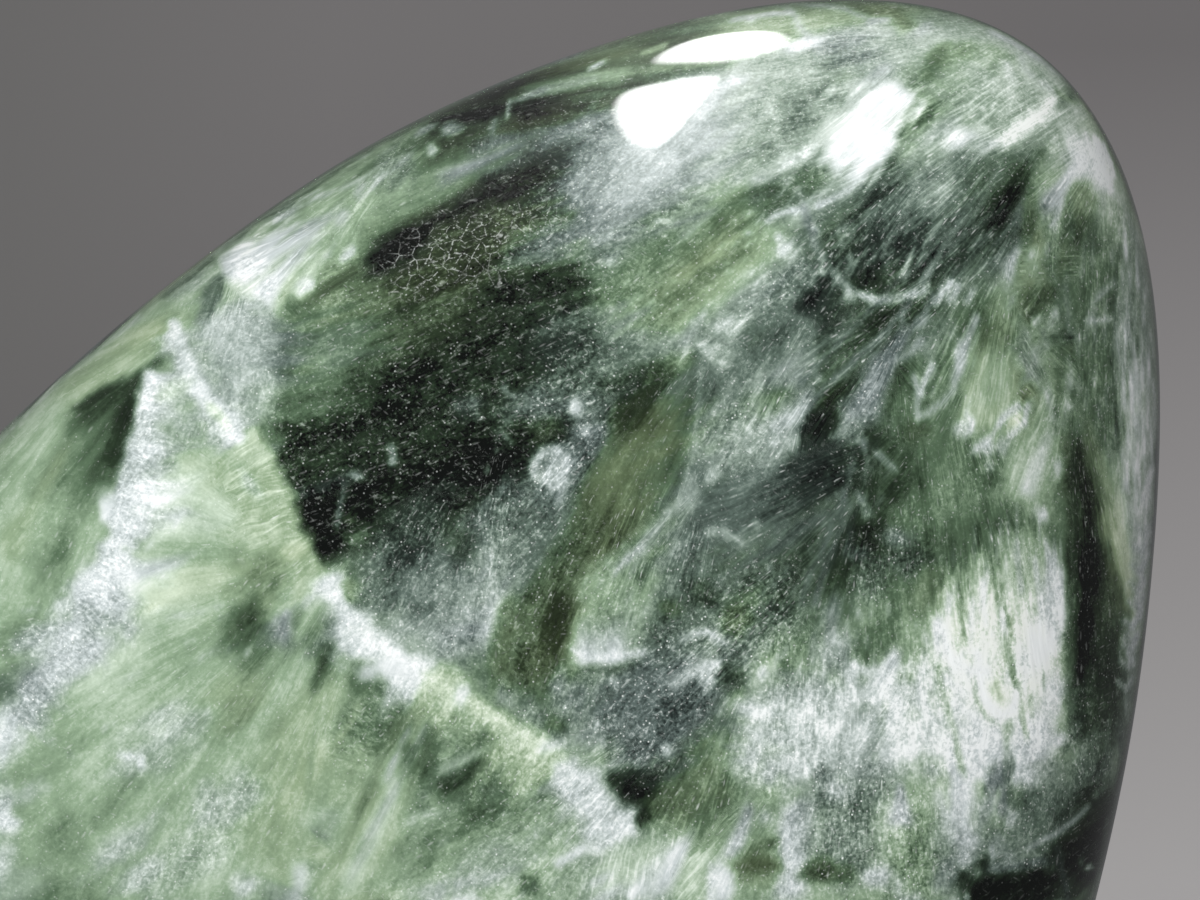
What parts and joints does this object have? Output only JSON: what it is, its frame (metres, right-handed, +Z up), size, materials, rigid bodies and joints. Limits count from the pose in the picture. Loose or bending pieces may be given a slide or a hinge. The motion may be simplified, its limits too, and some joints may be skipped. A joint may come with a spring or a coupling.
{
  "type": "polished seraphinite palm stone",
  "caption": "Hand-polished seraphinite pebble, a rounded drop of dark green stone with silvery feather-like plumes, lying on its flat-ground back.",
  "frame": {"origin": "on the surface that the stone rests on, under the middle of its bounding box", "axes": "+X along the stone's length towards its slim end, +Y across it, +Z up out of the polished face"},
  "size_m": [0.069, 0.0448, 0.0194],
  "materials": {
    "seraphinite": "polished"
  },
  "bodies": {
    "root": {"stone": "seraphinite"}
  },
  "joints": []
}
